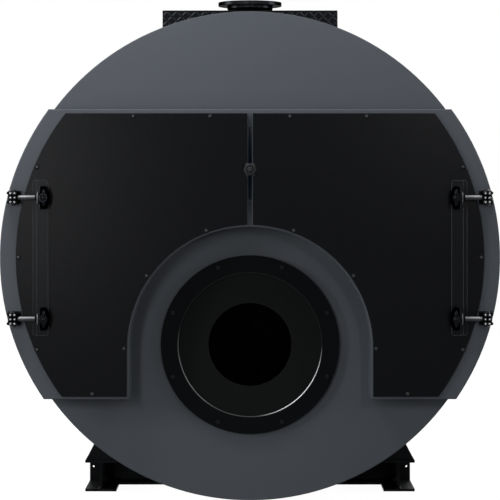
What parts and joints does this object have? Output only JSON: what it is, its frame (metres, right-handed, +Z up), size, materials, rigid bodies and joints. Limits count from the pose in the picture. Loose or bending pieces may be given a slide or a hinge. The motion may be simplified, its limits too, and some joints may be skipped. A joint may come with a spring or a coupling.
{
  "type": "horizontal fire-tube boiler",
  "caption": "Horizontal fire-tube boiler on a steel base frame, with two hinged front doors round a burner port, a top walkway and a flanged flow nozzle.",
  "frame": {"origin": "on the floor, in the middle of the boiler's length and width", "axes": "+Z up, -Y out of the doors, +X to the right seen from the front, Y along the boiler body"},
  "size_m": [2.6, 5.333, 2.942],
  "materials": {
    "grey_paint": "satin",
    "jacket_paint": "satin",
    "door_paint": "satin",
    "base_paint": "satin",
    "tread_plate": "satin",
    "bare_steel": "dark",
    "burner_casting": "matte",
    "refractory": "matte",
    "fired_steel": "scaled"
  },
  "bodies": {
    "boiler": {"jacket": "jacket_paint", "pressure_shell": "bare_steel", "front_wall": "grey_paint", "rear_wall": "grey_paint", "tube_plate": "fired_steel", "rear_tube_plate": "fired_steel", "smoke_tubes": "fired_steel", "flame_tube": "fired_steel", "burner_ring": "burner_casting", "burner_plate": "burner_casting", "burner_throat": "refractory", "burner_bolts": "bare_steel", "door_housing": "grey_paint", "door_frame": "grey_paint", "centre_post": "grey_paint", "centre_clamp": "bare_steel", "hinge_pins": "bare_steel", "flow_nozzle": "bare_steel", "walkway_deck": "tread_plate", "walkway_apron_front": "tread_plate", "walkway_apron_rear": "tread_plate", "walkway_apron_left": "tread_plate", "walkway_apron_right": "tread_plate", "flue_collector": "grey_paint", "flue_outlet": "grey_paint", "cleaning_covers": "door_paint", "base_beam_left": "base_paint", "base_beam_right": "base_paint", "beam_ribs": "base_paint", "cross_beam_front": "base_paint", "cross_beam_middle": "base_paint", "cross_beam_rear": "base_paint", "saddle_front": "base_paint", "saddle_rear": "base_paint", "left_hinge_brackets": "door_paint", "right_hinge_brackets": "door_paint"},
    "left_door": {"left_door_panel": "door_paint", "left_door_lining": "refractory", "left_hinge_plate": "door_paint", "left_hinge_rods": "bare_steel"},
    "right_door": {"right_door_panel": "door_paint", "right_door_lining": "refractory", "right_hinge_plate": "door_paint", "right_hinge_rods": "bare_steel"}
  },
  "joints": [
    {"name": "left_door_hinge", "type": "hinge", "parent": "boiler", "child": "left_door", "pos_m": [-1.222, -2.6075, 1.399], "axis": [0, 0, -1], "range_deg": [0, 110]},
    {"name": "right_door_hinge", "type": "hinge", "parent": "boiler", "child": "right_door", "pos_m": [1.222, -2.6075, 1.399], "axis": [0, 0, 1], "range_deg": [0, 110]}
  ]
}
